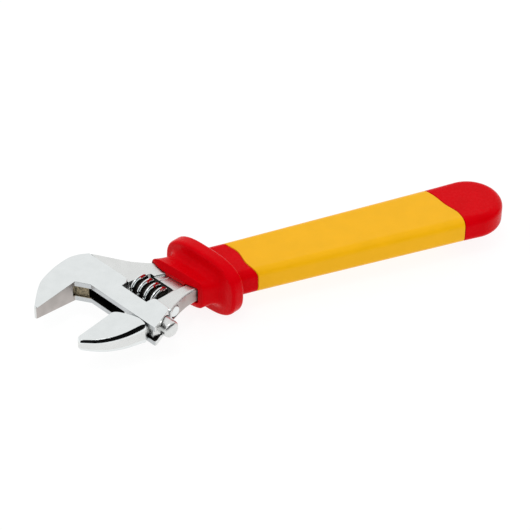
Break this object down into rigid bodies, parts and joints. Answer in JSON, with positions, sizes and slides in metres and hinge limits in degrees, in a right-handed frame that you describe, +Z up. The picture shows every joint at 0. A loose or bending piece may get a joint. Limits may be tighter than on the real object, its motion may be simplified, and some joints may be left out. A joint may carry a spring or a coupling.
{
  "type": "insulated adjustable wrench",
  "caption": "Adjustable wrench with an angled chrome head, a sliding jaw driven by a worm, and an insulated handle with an oval hand guard.",
  "frame": {"origin": "middle of the bounding box's base, with the tool lying flat and resting on the edge of its hand guard", "axes": "+X runs along the handle from its round end to the jaws, +Y points to the side of the movable jaw, +Z is up, square to the flat of the head"},
  "size_m": [0.2588, 0.0694, 0.034],
  "materials": {
    "body_chrome": "satin chrome plate, brighter on the flats",
    "jaw_chrome": "satin chrome plate",
    "worm_chrome": "bright chrome plate",
    "pin_chrome": "bright chrome plate",
    "spring_steel": "drawn spring wire",
    "contrast_plastic": "moulded insulation",
    "guard_plastic": "smooth moulded insulation",
    "grip_plastic": "satin moulded insulation",
    "cap_plastic": "smooth moulded insulation"
  },
  "bodies": {
    "handle": {"body": "body_chrome", "worm_pin": "pin_chrome", "worm_spring": "spring_steel", "contrast_layer": "contrast_plastic", "front_guard": "guard_plastic", "grip_sleeve": "grip_plastic", "end_cap": "cap_plastic"},
    "jaw": {"movable_jaw": "jaw_chrome"},
    "knurl": {"worm": "worm_chrome"}
  },
  "joints": [
    {"name": "jaw_slide", "type": "slide", "parent": "handle", "child": "jaw", "axis": [-0.3827, 0.9239, 0], "range_m": [-0.0306, 0.0016]},
    {"name": "worm_spin", "type": "hinge", "parent": "handle", "child": "knurl", "pos_m": [0.0711, 0.00204, 0.017], "axis": [-0.3827, 0.9239, 0], "range_deg": [-122, 2297]}
  ],
  "couplings": [
    {"joint": "worm_spin", "follows": "jaw_slide", "rad_per_m": -1309}
  ]
}
